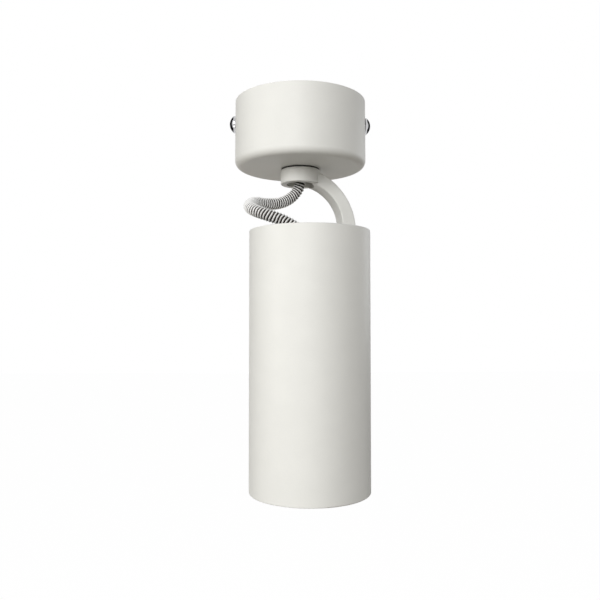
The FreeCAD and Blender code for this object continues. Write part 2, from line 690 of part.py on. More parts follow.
def make_arm():
    """Hub and C-shaped arm in one casting: the arm leaves the hub, and returns below it to the pivot boss."""
    body = new_body("swivel_arm")
    crescent = new_sketch(body, "arm_crescent", "XZ_Plane")
    ends = []
    for along, drop, radius in (
        ("arm_outer_along", "arm_outer_drop", "arm_outer_radius"),
        ("arm_inner_along", "arm_inner_drop", "arm_inner_radius"),
    ):
        centre = Vector(number(along), -number(drop), 0)
        size = number(radius)
        root = math.acos((number("arm_root") - centre.x) / size)
        tip = -math.acos((number("pivot_along") - centre.x) / size)
        arc = crescent.addGeometry(Part.ArcOfCircle(Part.Circle(centre, Z, size), tip, root), False)
        locate(crescent, arc, 3, along, f"-{drop}")
        dimension(crescent, "Radius", (arc,), radius)
        dimension(crescent, "DistanceX", (-1, 1, arc, 1), "pivot_along")
        dimension(crescent, "DistanceX", (-1, 1, arc, 2), "arm_root")
        ends.append(arc)
    outer, inner = (crescent.Geometry[arc] for arc in ends)
    root_line = crescent.addGeometry(Part.LineSegment(outer.EndPoint, inner.EndPoint), False)
    crescent.addConstraint(Sketcher.Constraint("Coincident", root_line, 1, ends[0], 2))
    crescent.addConstraint(Sketcher.Constraint("Coincident", root_line, 2, ends[1], 2))
    middle = (outer.StartPoint + inner.StartPoint) * 0.5
    half = (inner.StartPoint - outer.StartPoint).Length / 2
    boss = Part.ArcOfCircle(Part.Circle(middle, Z, half), math.pi / 2, 3 * math.pi / 2)
    boss_arc = crescent.addGeometry(boss, False)
    crescent.addConstraint(Sketcher.Constraint("Coincident", boss_arc, 1, ends[1], 1))
    crescent.addConstraint(Sketcher.Constraint("Coincident", boss_arc, 2, ends[0], 1))
    dimension(crescent, "DistanceX", (-1, 1, boss_arc, 3), "pivot_along")
    base = pad(body, "arm_pad", crescent, "arm_thickness", both_ways=True)
    side = number("arm_thickness / 2")
    start = number("arm_root")

    def on_flat_side(edge):
        ends_y = {round(abs(vertex.Point.y), 3) for vertex in edge.Vertexes}
        at_root = all(abs(vertex.Point.x - start) < 0.01 for vertex in edge.Vertexes)
        return ends_y == {round(side, 3)} and not at_root

    round_edges(body, "arm_rounding", base, "arm_round", on_flat_side)
    hub = new_sketch(body, "hub_section", "XZ_Plane")
    outline(
        hub,
        [
            ("0", HUB_LOW),
            ("hub_radius", HUB_LOW, "hub_round"),
            ("hub_radius", HUB_TOP, "hub_round"),
            ("0", HUB_TOP),
        ],
    )
    turned(body, "hub_turn", hub)
    recess = new_sketch(body, "hub_recess", "XY_Plane", f"{HUB_LOW} - 6")
    circle(recess, "0", "0", "recess_radius")
    cut(body, "hub_recess_cut", recess, "recess_depth + 6", reverse=True)
    thread = new_sketch(body, "hub_thread", "XY_Plane")
    circle(thread, "0", "0", "stud_radius")
    cut(body, "hub_thread_cut", thread, f"1 - {RECESS_TOP}")
    bore = new_sketch(body, "pivot_bore", "XZ_Plane")
    circle(bore, "pivot_along", "-pivot_drop", "pivot_radius + pivot_fit")
    cut(body, "pivot_bore_cut", bore, both_ways=True)
    seat = new_sketch(body, "bolt_seat", "XZ_Plane", "-arm_thickness / 2")
    circle(seat, "pivot_along", "-pivot_drop", "counterbore_radius")
    cut(body, "bolt_seat_cut", seat, "counterbore_depth", reverse=True)
    node("swivel_arm", body, "arm")


def make_stud():
    """Hollow stud through the canopy, with the parts that clamp it and stop its turn."""
    stud = ring_body("hollow_stud", "stud_bore", "stud_radius", RECESS_TOP, "stud_height")
    node("hollow_stud", stud, "arm")
    stop = new_body("stop_washer")
    face = new_sketch(stop, "stop_face", "XY_Plane", STOP_LOW)
    circle(face, "0", "0", "grip_radius + 1")
    pad(stop, "stop_disc", face, "plate_thickness")
    tab = new_sketch(stop, "stop_tab", "XY_Plane", STOP_LOW)
    rectangle(tab, "stud_radius", "stop_reach", "-stop_width / 2", "stop_width / 2")
    pad(stop, "stop_tab_pad", tab, "plate_thickness")
    hole = new_sketch(stop, "stop_hole", "XY_Plane")
    circle(hole, "0", "0", "stud_radius")
    cut(stop, "stop_hole_cut", hole)
    node("stop_washer", stop, "arm")
    lock = new_body("lock_washer")
    ring = new_sketch(lock, "lock_ring", "XY_Plane", LOCK_LOW)
    ring_sector(ring, "stud_radius + 0.1", "grip_radius + 0.8", "8", "352")
    pad(lock, "lock_pad", ring, "plate_thickness")
    node("lock_washer", lock, "arm")
    nut = hex_body("stud_nut", "nut_across", "nut_height", "stud_radius")
    put_at(nut, ("0", "0", NUT_LOW))
    group("stud_lock_nut", "arm", [nut])
    pin = cylinder("pin_blank", "stop_pin_radius", "4", ("-stop_pin_along", "0", CANOPY_FLOOR))
    group("stop_pin", "arm", [pin])


def make_grips():
    """Nylon cord grips with a clamp screw each: one on the stud, one on the head's carrier plate."""
    upper = spun_body(
        "stud_grip",
        [
            ("stud_radius", GRIP_LOW),
            ("grip_radius", GRIP_LOW),
            ("grip_radius", GRIP_TOP, "1.2"),
            ("flex_radius + 0.05", GRIP_TOP),
            ("flex_radius + 0.05", STUD_TOP),
            ("stud_radius", STUD_TOP),
        ],
    )
    lower = spun_body(
        "head_grip",
        [
            ("flex_radius + 0.05", "-carrier_drop - nipple_length"),
            ("stud_radius", "-carrier_drop - nipple_length"),
            ("stud_radius", "-carrier_drop"),
            ("grip_radius", "-carrier_drop"),
            ("grip_radius", "grip_height - carrier_drop", "1.2"),
            ("flex_radius + 0.05", "grip_height - carrier_drop"),
        ],
    )
    for body, frame, level in (
        (upper, "arm", f"({GRIP_TOP} - 3.4)"),
        (lower, "head", "(grip_height - carrier_drop - 4)"),
    ):
        name = body.Name
        hole = new_sketch(body, f"{name}_screw_hole", "YZ_Plane")
        circle(hole, "0", level, "small_screw_radius")
        cut(body, f"{name}_screw_cut", hole, "grip_radius + 1", reverse=True)
        node(name, body, frame)
        screw = small_screw(f"{name}_clamp", "grip_radius - flex_radius - 0.05")
        put_at(screw, ("grip_radius", "0", level), X)
        group(f"{name}_screw", frame, [screw])
    nut = hex_body("nipple_nut_blank", "nut_across", "nipple_nut", "stud_radius")
    put_at(nut, ("0", "0", f"{CARRIER_LOW} - nipple_nut"))
    group("head_grip_nut", "head", [nut])
    bush = spun_body(
        "hub_bush",
        [
            ("flex_radius + 0.05", BUSH_LOW),
            ("bush_radius", BUSH_LOW, "0.6"),
            ("bush_radius", RECESS_TOP),
            ("flex_radius + 0.05", RECESS_TOP),
        ],
    )
    node("hub_bush", bush, "arm")


def make_flex():
    """The textile flex: its length inside the stud, the free loop, and its length inside the head's grip."""
    upper = ring_body("flex_in_stud", "0", "flex_radius", BUSH_LOW, f"{FLEX_TOP} - {BUSH_LOW}")
    node("flex_in_stud", upper, "arm")
    tube_along("flex_loop", "ceiling", FLEX_ROUTE, number("flex_radius"))
    lower_length = "grip_height + nipple_length + 1"
    lower = ring_body("flex_in_head", "0", "flex_radius", "-carrier_drop - nipple_length - 1", lower_length)
    node("flex_in_head", lower, "head")


def make_head_tube():
    """Plain tube, open at both ends, with one hole in its rear wall for the pivot bolt."""
    body = spun_body(
        "head_tube",
        [
            (BORE, "-tube_length", "rim_round_inner"),
            ("tube_radius", "-tube_length", "rim_round"),
            ("tube_radius", "0", "rim_round"),
            (BORE, "0", "rim_round_inner"),
        ],
    )
    hole = new_sketch(body, "pivot_hole", "XZ_Plane")
    circle(hole, "0", PIVOT_LEVEL, "pivot_radius + 0.1")
    cut(body, "pivot_hole_cut", hole)
    node("head_tube", body, "head")


def make_pivot():
    """The tilting joint: shoulder bolt, friction washer, a saddle on each side of the tube wall, lock nut."""
    bolt = screw_body(
        "pivot_bolt_blank",
        "pivot_radius",
        "bolt_length",
        "bolt_head_radius",
        "bolt_head_rim",
        "bolt_head_dome",
        "bolt_socket",
    )
    put_at(bolt, ("0", BOLT_SEAT, PIVOT_LEVEL), Y)
    group("pivot_bolt", "head", [bolt])
    for name, near, length, wall, kind in (
        ("outer_saddle", "(tube_radius - 1.5)", "1.5 + saddle_thickness", "tube_radius", "Cut"),
        ("inner_saddle", INNER_FACE, "inner_saddle + 1", BORE, "Common"),
    ):
        disc = cylinder(f"{name}_disc", "saddle_radius", length, ("0", near, PIVOT_LEVEL), Y)
        column = cylinder(f"{name}_column", wall, "40", ("0", "0", f"{PIVOT_LEVEL} - 20"))
        shaped = boolean(kind, f"{name}_shaped", disc, column)
        hole = cylinder(f"{name}_hole", "pivot_radius + 0.1", "20", ("0", "tube_radius - 10", PIVOT_LEVEL), Y)
        node(f"{name}_washer", boolean("Cut", f"{name}_bored", shaped, hole), "head")
    nut = hex_body("pivot_nut_blank", "pivot_nut_across", "pivot_nut_height", "pivot_radius")
    put_at(nut, ("0", INNER_FACE, PIVOT_LEVEL), Vector(0, -1, 0))
    group("pivot_nut", "head", [nut])
    washer = new_body("tilt_washer_ring")
    face = new_sketch(washer, "tilt_washer_face", "XZ_Plane", "arm_thickness / 2")
    circle(face, "pivot_along", "-pivot_drop", "saddle_radius")
    circle(face, "pivot_along", "-pivot_drop", "pivot_radius + 0.1")
    pad(washer, "tilt_washer_pad", face, "tilt_washer")
    node("tilt_friction_washer", washer, "arm")


def make_carrier():
    """Pressed plate in the tube that carries the cord grip and, on two pillars, the lamp holder."""
    hole = "stud_radius"
    body = spun_body(
        "carrier_plate",
        [
            (hole, CARRIER_LOW),
            (f"{BORE} - carrier_thickness", CARRIER_LOW),
            (f"{BORE} - carrier_thickness", "-carrier_drop - carrier_rim"),
            (BORE, "-carrier_drop - carrier_rim"),
            (BORE, "-carrier_drop", "carrier_thickness"),
            (hole, "-carrier_drop"),
        ],
    )
    holes = new_sketch(body, "carrier_holes", "XY_Plane")
    for side in ("-", ""):
        circle(holes, "0", f"{side}pillar_along", "small_screw_radius")
    circle(holes, "-tag_along", "0", "small_screw_radius")
    cut(body, "carrier_hole_cut", holes)
    node("carrier_plate", body, "head")
    pillars, tops, lows = [], [], []
    for i, side in enumerate(("-", "")):
        along = f"{side}pillar_along"
        pillar = hex_body(f"pillar_{i}", "pillar_across", f"{CARRIER_LOW} + holder_top", "small_screw_radius")
        put_at(pillar, ("0", along, "-holder_top"))
        pillars.append(pillar)
        top = small_screw(f"plate_screw_{i}", "8")
        put_at(top, ("0", along, "-carrier_drop"))
        tops.append(top)
        low = small_screw(f"holder_screw_{i}", "holder_flange + 7")
        put_at(low, ("0", along, "-holder_top - holder_flange"), Vector(0, 0, -1))
        lows.append(low)
    group("holder_pillars", "head", pillars)
    group("plate_screws", "head", tops)
    group("holder_screws", "head", lows)
    tag = new_body("earth_tag")
    face = new_sketch(tag, "tag_face", "XY_Plane", f"{CARRIER_LOW} - tag_thickness")
    circle(face, "-tag_along", "0", "tag_radius")
    circle(face, "-tag_along", "0", "small_screw_radius")
    pad(tag, "tag_pad", face, "tag_thickness")
    node("earth_tag", tag, "head")
    screw = small_screw("tag_screw", "carrier_thickness + tag_thickness")
    put_at(screw, ("-tag_along", "0", f"{CARRIER_LOW} - tag_thickness"), Vector(0, 0, -1))
    group("earth_tag_screw", "head", [screw])


def make_holder():
    """Ceramic twist-lock holder: flange, boss, two keyhole slots, and a brass contact above each slot."""
    body = new_body("lamp_holder")
    flange = new_sketch(body, "holder_flange", "XY_Plane", "-holder_top")
    circle(flange, "0", "0", "holder_radius")
    for side in ("-", ""):
        circle(flange, "0", f"{side}pillar_along", "small_screw_radius")
    pad(body, "holder_flange_pad", flange, "holder_flange", reverse=True)
    boss = new_sketch(body, "holder_boss", "XY_Plane", "-holder_top - 1")
    long, wide = "holder_boss_length / 2", "holder_boss_width / 2"
    rectangle(boss, f"-{long}", long, f"-{wide}", wide, "4")
    pad(body, "holder_boss_pad", boss, "holder_height - 1", reverse=True)
    mouth = new_sketch(body, "holder_mouths", "XY_Plane", HOLDER_LOW)
    necks = new_sketch(body, "holder_necks", "XY_Plane", HOLDER_LOW)
    wells = new_sketch(body, "holder_wells", "XY_Plane", f"{HOLDER_LOW} + 2")
    ways = new_sketch(body, "holder_lead_ways", "XY_Plane", "-holder_top")
    middle = "pin_spacing / 2"
    for turn in ("0", "180"):
        entry = f"({turn} - lamp_twist)"
        circle(mouth, f"{middle} * cos({entry})", f"{middle} * sin({entry})", "pin_head + 0.4")
        ring_sector(
            necks,
            f"{middle} - pin_neck - 0.4",
            f"{middle} + pin_neck + 0.4",
            f"{turn} - lamp_twist",
            f"{turn} + 24",
        )
        ring_sector(
            wells,
            f"{middle} - pin_head - 0.4",
            f"{middle} + pin_head + 0.4",
            f"{turn} - lamp_twist - 36",
            f"{turn} + 36",
        )
    for side in ("-", ""):
        circle(ways, f"{side}lead_along", "0", "lead_radius + 0.3")
    cut(body, "holder_mouth_cut", mouth, "2.5", reverse=True)
    cut(body, "holder_neck_cut", necks, "2.5", reverse=True)
    cut(body, "holder_well_cut", wells, "pin_height - 0.6", reverse=True)
    cut(body, "holder_way_cut", ways, "3")
    node("lamp_holder", body, "head")
    contacts = []
    for i, side in enumerate(("-", "")):
        contact = new_body(f"contact_{i}")
        face = new_sketch(contact, f"contact_face_{i}", "XY_Plane", f"{HOLDER_LOW} + pin_height + 0.6")
        along = f"({side}{middle})"
        rectangle(face, f"{along} - 1.8", f"{along} + 1.8", "-1.5", "1.5")
        pad(contact, f"contact_pad_{i}", face, "0.6")
        contacts.append(contact)
    group("holder_contacts", "head", contacts)


def make_leads():
    """Wires in the head: two to the holder and one to the earth tag."""
    radius, start = number("lead_radius"), number("-carrier_drop - nipple_length - 1.3")
    low, reach = number("-holder_top - 2.6"), number("lead_along")
    for name, side in (("lead_live", 1), ("lead_neutral", -1)):
        route = [
            (side * 1.6, -0.9, start),
            (side * 1.6, -0.9, start - 3.0),
            (side * 3.6, -0.6, start - 6.0),
            (side * reach, 0.0, low + 6.6),
            (side * reach, 0.0, low),
        ]
        tube_along(name, "head", route, radius)
    level = number(f"{CARRIER_LOW} - tag_thickness") - radius - 0.1
    tag = number("-tag_along")
    route = [
        (0.0, 1.9, start),
        (0.0, 1.9, start - 2.6),
        (-3.4, 2.4, start - 3.8),
        (-8.0, 2.0, start - 1.5),
        (-12.0, 1.0, start + 2.6),
        (tag + 3.9, 0.0, level - 0.6),
        (tag + 2.9, 0.0, level + 0.1),
    ]
    tube_along("lead_earth", "head", route, radius)


def make_lamp():
    """Twist-lock lamp: base with two headed pins, housing, chip board, reflector and lens."""
    base_low = f"({LAMP_TOP} - lamp_base_height)"
    base = spun_body(
        "lamp_base",
        [
            ("0", base_low),
            ("lamp_base_radius + 1", base_low),
            ("lamp_base_radius", f"{LAMP_TOP}", "1"),
            ("0", f"{LAMP_TOP}"),
        ],
    )
    node("lamp_base", base, "head")
    pins = []
    for i, side in enumerate(("-", "")):
        pin = spun_body(
            f"lamp_pin_{i}",
            [
                ("0", "0"),
                ("pin_neck", "0"),
                ("pin_neck", "pin_height - pin_head_height"),
                ("pin_head", "pin_height - pin_head_height"),
                ("pin_head", "pin_height", "0.5"),
                ("0", "pin_height"),
            ],
        )
        put_at(pin, (f"{side}pin_spacing / 2", "0", LAMP_TOP))
        pins.append(pin)
    group("lamp_pins", "head", pins)
    shoulder = f"({LAMP_FRONT} + 6)"
    neck = f"({base_low} - 4)"
    housing = spun_body(
        "lamp_housing",
        [
            ("0", base_low),
            ("0", f"{base_low} - lamp_wall"),
            ("lamp_base_radius", f"{base_low} - lamp_wall"),
            ("lamp_base_radius + 2", neck),
            ("lamp_radius - lamp_wall - 1", shoulder),
            ("lamp_radius - lamp_wall", f"{LAMP_FRONT} + 0.3"),
            ("lamp_radius - lamp_wall", LAMP_FRONT),
            ("lamp_radius", LAMP_FRONT, "0.5"),
            ("lamp_radius", shoulder),
            ("lamp_base_radius + 3.5", neck),
            ("lamp_base_radius + 1", base_low),
        ],
    )
    node("lamp_housing", housing, "head")
    board = ring_body("lamp_board", "0", "lamp_base_radius + 3", f"{base_low} - 12", "1.2")
    node("lamp_board", board, "head")
    chips = []
    for i in range(7):
        chip = new_body(f"chip_{i}")
        ring = "0" if i == 6 else "chip_circle"
        across = f"{ring} * cos({60 * i})", f"{ring} * sin({60 * i})"
        face = new_sketch(chip, f"chip_face_{i}", "XY_Plane")
        rectangle(face, "-1.6", "1.6", "-1.6", "1.6")
        pad(chip, f"chip_pad_{i}", face, "0.7")
        put_at(chip, (*across, f"{base_low} - 12.7"))
        chips.append(chip)
    group("lamp_chips", "head", chips)
    reflector_low = f"({LAMP_FRONT} + lens_thickness + 1.2)"
    reflector = spun_body(
        "lamp_reflector",
        [
            ("lamp_base_radius + 3", f"{base_low} - 12.9"),
            ("lamp_radius - lamp_wall - 0.8", reflector_low),
            ("lamp_radius - lamp_wall - 1.6", reflector_low),
            ("lamp_base_radius + 2", f"{base_low} - 12.9"),
        ],
    )
    node("lamp_reflector", reflector, "head")
    lens = ring_body("lamp_lens", "0", "lamp_radius - lamp_wall - 0.4", f"{LAMP_FRONT} + 1", "lens_thickness")
    node("lamp_lens", lens, "head")


def check_and_write():
    """Stops at the first failed object or shape, then writes every piece."""
    doc.recompute()
    for item in doc.Objects:
        if {"Invalid", "Error"} & set(item.State):
            raise RuntimeError(f"{item.Name} failed: {item.State}")
    for item in CUTS:
        removed = item.BaseFeature.Shape.Volume - item.Shape.Volume
        if removed < 0.01:
            raise RuntimeError(f"{item.Name} cuts nothing")
    os.makedirs("parts", exist_ok=True)
    for name, item in NODES.items():
        if item.Shape.isNull() or not item.Shape.isValid() or not item.Shape.Solids:
            raise RuntimeError(f"{name} has no valid solid")
        item.Shape.exportStep(f"parts/{name}.step")
    print(len(NODES), "nodes written")


make_canopy()
make_bracket()
make_canopy_screws()
make_terminal_block()
make_supply_wires()
make_arm()
make_stud()
make_grips()
make_flex()
make_head_tube()
make_pivot()
make_carrier()
make_holder()
make_leads()
make_lamp()
check_and_write()
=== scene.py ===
"""Looks of a surface mounted ceiling spotlight: finishes, textile flex, lamp front and stage.

Metres. The origin is the centre of the canopy's ceiling face and +Z points up into the ceiling.
"""

import math

import bpy
import numpy as np
from bpy.props import FloatProperty, FloatVectorProperty, PointerProperty
from bpy.types import Operator, Panel, PropertyGroup
from mathutils import Euler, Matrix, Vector


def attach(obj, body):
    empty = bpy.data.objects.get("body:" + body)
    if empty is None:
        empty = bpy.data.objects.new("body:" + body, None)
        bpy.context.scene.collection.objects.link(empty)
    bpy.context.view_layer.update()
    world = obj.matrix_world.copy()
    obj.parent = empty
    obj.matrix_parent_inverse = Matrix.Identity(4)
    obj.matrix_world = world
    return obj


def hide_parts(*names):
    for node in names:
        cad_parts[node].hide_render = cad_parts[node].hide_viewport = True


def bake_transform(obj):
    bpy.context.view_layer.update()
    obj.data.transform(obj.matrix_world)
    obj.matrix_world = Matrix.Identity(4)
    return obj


bl_info = {
    "name": "Ceiling Spotlight",
    "version": (1, 0, 0),
    "blender": (4, 5, 0),
    "location": "View3D > Sidebar > Spotlight",
    "description": "Finishes, textile flex, lamp front and stage of a surface mounted ceiling spotlight",
    "category": "Object",
}

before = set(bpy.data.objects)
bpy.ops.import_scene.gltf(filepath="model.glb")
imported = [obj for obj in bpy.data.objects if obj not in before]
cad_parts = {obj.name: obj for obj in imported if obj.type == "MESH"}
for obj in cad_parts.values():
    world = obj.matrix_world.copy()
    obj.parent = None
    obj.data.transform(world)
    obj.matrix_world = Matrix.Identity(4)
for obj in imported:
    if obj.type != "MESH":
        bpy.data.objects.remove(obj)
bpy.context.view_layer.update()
MM = 0.001

# Where a noise texture's values mostly lie, and the narrower middle of them.
FULL_NOISE = (0.3, 0.7)
MID_NOISE = (0.35, 0.65)

# What meets the camera, a reflection or the view through glass. Light itself is left out.
RAYS_THAT_SEE = ("Is Camera Ray", "Is Glossy Ray", "Is Transmission Ray")

# The flex's route in the ceiling's frame, as its solid has it: out of the hub's bush, to the left, round in a
# tight loop that comes forward, and back over the tube's mouth to the cord grip.
FLEX_ROUTE = (
    (0.0, 0.0, -0.0459),
    (0.0, 0.0, -0.0502),
    (-0.0044, -0.0007, -0.0568),
    (-0.0112, -0.0044, -0.0614),
    (-0.0200, -0.0109, -0.0634),
    (-0.0277, -0.0184, -0.0635),
    (-0.0305, -0.0272, -0.0674),
    (-0.0272, -0.0359, -0.0712),
    (-0.0194, -0.0413, -0.0747),
    (-0.0112, -0.0422, -0.0775),
    (-0.0030, -0.0414, -0.0821),
    (0.0018, -0.0411, -0.0896),
    (0.00295, -0.04115, -0.1002),
    (0.00295, -0.04115, -0.1103),
)

# Small waves that keep the ribs of the flex from lying quite evenly: share of a pitch, waves in a turn,
# length along the flex and phase.
RIB_WAVES = ((0.07, 2, 4.1 * MM, 0.0), (0.05, 3, -2.3 * MM, 1.0))
RIB_UNEVENNESS = 0.12
SHEATH_SPECK = (0.03, 0.019, 0.015)

# The small round lenses of the lamp's front, and its plain rim. Three cosine waves at 60 degrees to each
# other add up to between -1.5 and 3.
LENS_PITCH = 3.4 * MM
LENS_DEPTH = 0.45 * MM
LENS_RIM = 2.2 * MM
LENS_FADE = 0.5 * MM
LENS_EDGE = 0.2 * MM
WAVES_LOW = -1.5
WAVES_SPAN = 4.5

WIRE_COLOURS = {"live": (0.16, 0.07, 0.03), "neutral": (0.03, 0.10, 0.36), "earth": (0.10, 0.30, 0.04)}

CAMERA_PLACE = (-0.0201, -0.3879, -0.1321)
CAMERA_PITCH = 0.0337
CAMERA_HEADING = 0.0513
SENSOR_WIDTH = 36
NEAREST_SEEN = 0.01

# Soft lamps: azimuth, distance, level, size and colour. The power of each is a setting with the same name.
LAMPS = {
    "left": (-60, 1.15, 0.02, 0.5, (1.0, 0.99, 0.965)),
    "front": (-13, 1.2, 0.30, 0.5, (1.0, 1.0, 1.0)),
    "low": (-15, 0.9, -0.75, 0.4, (1.0, 0.98, 0.94)),
    "rear": (128, 1.2, 0.10, 0.5, (0.97, 0.985, 1.0)),
}
LAMPS_AIM = (0, -0.03, -0.11)

# Dark cards, one of each at either side: azimuth, distance, level, width and height.
CARDS = {"behind": (122, 0.8, -0.1, 0.7, 1.6), "low": (75, 0.8, -0.75, 0.8, 0.9)}

FLOOR_REACH = 12.0
FLOOR_LEVEL = -1.1
FLOOR_LIT = (0.43, 0.39, 0.34)
FLOOR_SEEN = (0.12, 0.12, 0.12)
FLOOR_GLOW = 0.95


class FinishSettings(PropertyGroup):
    """Colours and sheens that a user would change."""

    coat_colour: FloatVectorProperty(
        name="Coat colour",
        description="Warm white powder coat of canopy, arm and head",
        subtype="COLOR",
        size=3,
        min=0,
        max=1,
        default=(0.80, 0.80, 0.765),
    )
    coat_roughness: FloatProperty(
        name="Coat roughness",
        description="How matte the powder coat is",
        subtype="FACTOR",
        min=0,
        max=1,
        default=0.52,
    )
    screw_colour: FloatVectorProperty(
        name="Screw colour",
        description="Polished plating of the visible screws",
        subtype="COLOR",
        size=3,
        min=0,
        max=1,
        default=(0.55, 0.55, 0.56),
    )


class FlexSettings(PropertyGroup):
    """Sizes and colours of the textile flex."""

    radius: FloatProperty(
        name="Radius",
        description="Outer radius of the flex over its ribs",
        subtype="DISTANCE",
        unit="LENGTH",
        default=3.45 * MM,
        precision=5,
    )
    groove: FloatProperty(
        name="Groove",
        description="Depth of the gaps between the wound ribs",
        subtype="DISTANCE",
        unit="LENGTH",
        default=0.55 * MM,
        precision=5,
    )
    pitch: FloatProperty(
        name="Pitch",
        description="Distance from rib to rib",
        subtype="DISTANCE",
        unit="LENGTH",
        default=1.68 * MM,
        precision=5,
    )
    rib_share: FloatProperty(
        name="Rib share",
        description="Width of a rib over the pitch",
        subtype="FACTOR",
        min=0.2,
        max=0.9,
        default=0.42,
    )
    yarn_colour: FloatVectorProperty(
        name="Yarn colour",
        description="White textile ribs",
        subtype="COLOR",
        size=3,
        min=0,
        max=1,
        default=(0.95, 0.95, 0.94),
    )
    sheath_colour: FloatVectorProperty(
        name="Sheath colour",
        description="Dark sheath in the gaps",
        subtype="COLOR",
        size=3,
        min=0,
        max=1,
        default=(0.008, 0.006, 0.005),
    )


class StageSettings(PropertyGroup):
    """Camera and light."""

    lens: FloatProperty(
        name="Lens",
        description="Focal length of the camera",
        subtype="DISTANCE_CAMERA",
        default=38.77,
    )
    left_power: FloatProperty(
        name="Left",
        description="Power of the soft lamp at the left",
        unit="POWER",
        default=4.55,
    )
    front_power: FloatProperty(
        name="Front",
        description="Power of the soft lamp above the camera",
        unit="POWER",
        default=7.2,
    )
    low_power: FloatProperty(
        name="Low",
        description="Power of the soft lamp below the camera",
        unit="POWER",
        default=1.0,
    )
    rear_power: FloatProperty(
        name="Rear",
        description="Power of the soft lamp at the right and behind",
        unit="POWER",
        default=3.2,
    )
    sky: FloatProperty(
        name="Surroundings",
        description="Strength of the even light all round",
        default=0.35,
        min=0,
    )


class SpotlightSettings(PropertyGroup):
    """All settings of the spotlight."""

    finish: PointerProperty(type=FinishSettings)
    flex: PointerProperty(type=FlexSettings)
    stage: PointerProperty(type=StageSettings)


# Shader maths


class Wire:
    """An output socket of a node. Arithmetic on it adds Math nodes to its tree."""

    def __init__(self, tree, socket):
        self.tree = tree
        self.socket = socket

    def math(self, operation, *values):
        return self.tree.node("ShaderNodeMath", {"operation": operation}, dict(enumerate(values)))

    def __add__(self, other):
        return self.math("ADD", self, other)

    def __radd__(self, other):
        return self.math("ADD", other, self)

    def __sub__(self, other):
        return self.math("SUBTRACT", self, other)

    def __rsub__(self, other):
        return self.math("SUBTRACT", other, self)

    def __mul__(self, other):
        return self.math("MULTIPLY", self, other)

    def __rmul__(self, other):
        return self.math("MULTIPLY", other, self)


class Shader:
    """The node tree of a material or of the world."""

    def __init__(self, owner):
        self.owner = owner
        owner.use_nodes = True
        self.nodes = owner.node_tree.nodes
        self.links = owner.node_tree.links
        self.nodes.clear()

    def node(self, kind, settings=None, inputs=None, output=0):
        """Adds a node, sets its settings first and then its sockets, and gives one of its outputs."""
        made = self.nodes.new(kind)
        for name, value in (settings or {}).items():
            setattr(made, name, value)
        for name, value in (inputs or {}).items():
            if isinstance(value, Wire):
                self.links.new(value.socket, made.inputs[name])
            else:
                made.inputs[name].default_value = value
        return Wire(self, made.outputs[output]) if made.outputs else None

    def place(self, scale=(1, 1, 1)):
        """The piece's own coordinates in metres, scaled."""
        own = self.node("ShaderNodeTexCoord", output="Object")
        return self.node("ShaderNodeMapping", None, {"Vector": own, "Scale": scale})

    def noise(self, where, size, detail=2.0):
        """Soft random values about 0.5, with features of about the given size in metres."""
        values = {"Vector": where, "Scale": 1 / size, "Detail": detail}
        return self.node("ShaderNodeTexNoise", None, values)

    def span(self, value, low, high, new_low=0.0, new_high=1.0):
        """The value's range from low to high, stretched to a new range and clamped."""
        values = {0: value, 1: low, 2: high, 3: new_low, 4: new_high}
        return self.node("ShaderNodeMapRange", None, values)

    def blend(self, share, first, second):
        """A colour from the first to the second."""
        colours = {0: share, 6: opaque(first), 7: opaque(second)}
        return self.node("ShaderNodeMix", {"data_type": "RGBA"}, colours, output=2)

    def bump(self, height, depth, before=None):
        """A normal raised by height times depth in metres, on top of an earlier one."""
        values = {"Height": height, "Distance": depth}
        if before is not None:
            values["Normal"] = before
        return self.node("ShaderNodeBump", None, values)

    def surface(self, **sockets):
        """Ends a material in one glossy-over-matte surface. In a socket's name, an underscore stands for a
        space."""
        values = {name.replace("_", " "): value for name, value in sockets.items()}
        if not isinstance(values["Base Color"], Wire):
            values["Base Color"] = opaque(values["Base Color"])
        shaded = self.node("ShaderNodeBsdfPrincipled", None, values)
        self.node("ShaderNodeOutputMaterial", None, {"Surface": shaded})
        return self.owner


def opaque(colour):
    """A plain colour with full alpha. A wire stays as it is."""
    return colour if isinstance(colour, Wire) else (*colour, 1.0)


def shades(colour, darker, lighter):
    """A darker and a lighter shade of a colour."""
    base = np.array(colour)
    return tuple(base * darker), tuple(np.minimum(base * lighter, 1))


def new_material(name):
    return Shader(bpy.data.materials.new(name))


def give(nodes, material):
    """Puts one material on carried-over pieces."""
    for name in nodes:
        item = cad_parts[name]
        item.data.materials.clear()
        item.data.materials.append(material)


# Meshes from arrays


def grid_faces(rows, columns):
    """Quads between neighbouring rows of points that close round, facing outwards for rows that advance along
    +Z and columns that turn about it by the right hand."""
    row, column = np.meshgrid(np.arange(rows - 1), np.arange(columns), indexing="ij")
    here = (row * columns + column).ravel()
    beside = (row * columns + (column + 1) % columns).ravel()
    return np.stack((here, beside, beside + columns, here + columns), axis=1)


def closed_skin(name, points, uv=None):
    """A mesh through rows of points that close round. The first and last rows are closed by a fan of
    triangles to their middle. The uv array gives each point's place on the surface, and its last column is
    one turn further."""
    rows, columns, _ = points.shape
    middles = np.stack((points[0].mean(axis=0), points[-1].mean(axis=0)))
    corners = np.concatenate((points.reshape(-1, 3), middles))
    quads = grid_faces(rows, columns)
    ring = np.arange(columns)
    after = (ring + 1) % columns
    first, last = rows * columns, rows * columns + 1
    low_fan = np.stack((np.full(columns, first), after, ring), axis=1)
    top = (rows - 1) * columns
    high_fan = np.stack((np.full(columns, last), top + ring, top + after), axis=1)
    mesh = bpy.data.meshes.new(name)
    mesh.from_pydata(corners.tolist(), [], quads.tolist() + low_fan.tolist() + high_fan.tolist())
    mesh.polygons.foreach_set("use_smooth", np.ones(len(mesh.polygons), bool))
    if uv is not None:
        add_uv(mesh, uv, rows, columns)
    mesh.validate()
    item = bpy.data.objects.new(name, mesh)
    bpy.context.scene.collection.objects.link(item)
    return item


